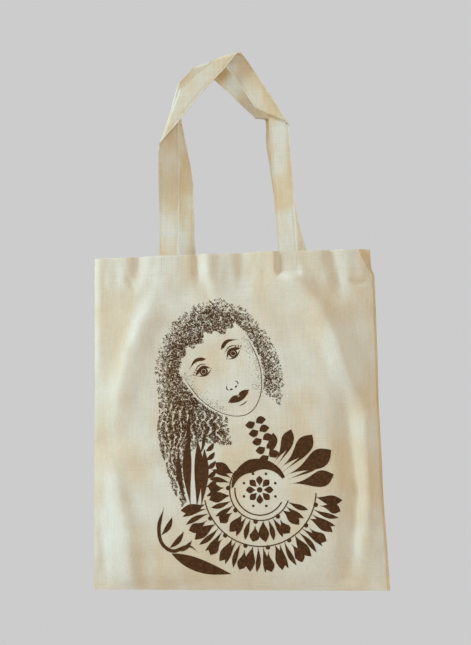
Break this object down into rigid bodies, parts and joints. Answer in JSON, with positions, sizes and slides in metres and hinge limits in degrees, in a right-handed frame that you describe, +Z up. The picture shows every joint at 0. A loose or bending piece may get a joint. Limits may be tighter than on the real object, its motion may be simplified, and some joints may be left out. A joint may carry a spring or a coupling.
{
  "type": "tote bag",
  "caption": "Flat cotton canvas tote bag with an open hemmed mouth, inside seams and two long strap handles sewn in under the hem.",
  "frame": {"origin": "middle of the bottom seam, centred between the two sides, on the level of the bag's lowest edge", "axes": "+Z up from the bottom seam to the handles, +X along the mouth to the viewer's right, -Y out of the printed front side, +Y out of the plain back"},
  "size_m": [0.37, 0.022, 0.6786],
  "materials": {
    "canvas": "unbleached cotton canvas, plain weave, matt, with a brown one-colour screen print on the front",
    "hem_canvas": "the same canvas turned in along the mouth",
    "seam_canvas": "raw canvas edges inside the seams",
    "strap_cotton": "folded canvas strap, matt, edge stitched",
    "stitch_thread": "ecru sewing thread",
    "overlock_thread": "ecru overlock thread"
  },
  "bodies": {
    "bag": {"back_panel": "canvas", "back_hem": "hem_canvas", "back_hem_stitching": "stitch_thread", "back_handle_left_end": "strap_cotton", "back_handle_right_end": "strap_cotton", "back_handle_box_stitching": "stitch_thread", "left_side_seam": "seam_canvas", "right_side_seam": "seam_canvas", "bottom_seam": "seam_canvas", "left_seam_overlock": "overlock_thread", "right_seam_overlock": "overlock_thread", "bottom_seam_overlock": "overlock_thread"},
    "front_side": {"front_panel": "canvas", "front_hem": "hem_canvas", "front_hem_stitching": "stitch_thread", "front_handle_left_end": "strap_cotton", "front_handle_right_end": "strap_cotton", "front_handle_box_stitching": "stitch_thread"},
    "front_handle": {"front_handle": "strap_cotton", "front_handle_stitching": "stitch_thread"},
    "back_handle": {"back_handle": "strap_cotton", "back_handle_stitching": "stitch_thread"}
  },
  "joints": [
    {"name": "mouth_opening", "type": "hinge", "parent": "bag", "child": "front_side", "pos_m": [0, -0.0012, 0], "axis": [1, 0, 0], "range_deg": [0, 5]},
    {"name": "front_handle_fold", "type": "hinge", "parent": "front_side", "child": "front_handle", "pos_m": [0, -0.0112, 0.42015], "axis": [1, 0, 0], "range_deg": [0, 175]},
    {"name": "back_handle_fold", "type": "hinge", "parent": "bag", "child": "back_handle", "pos_m": [0, 0.0112, 0.42015], "axis": [-1, 0, 0], "range_deg": [0, 175]}
  ]
}
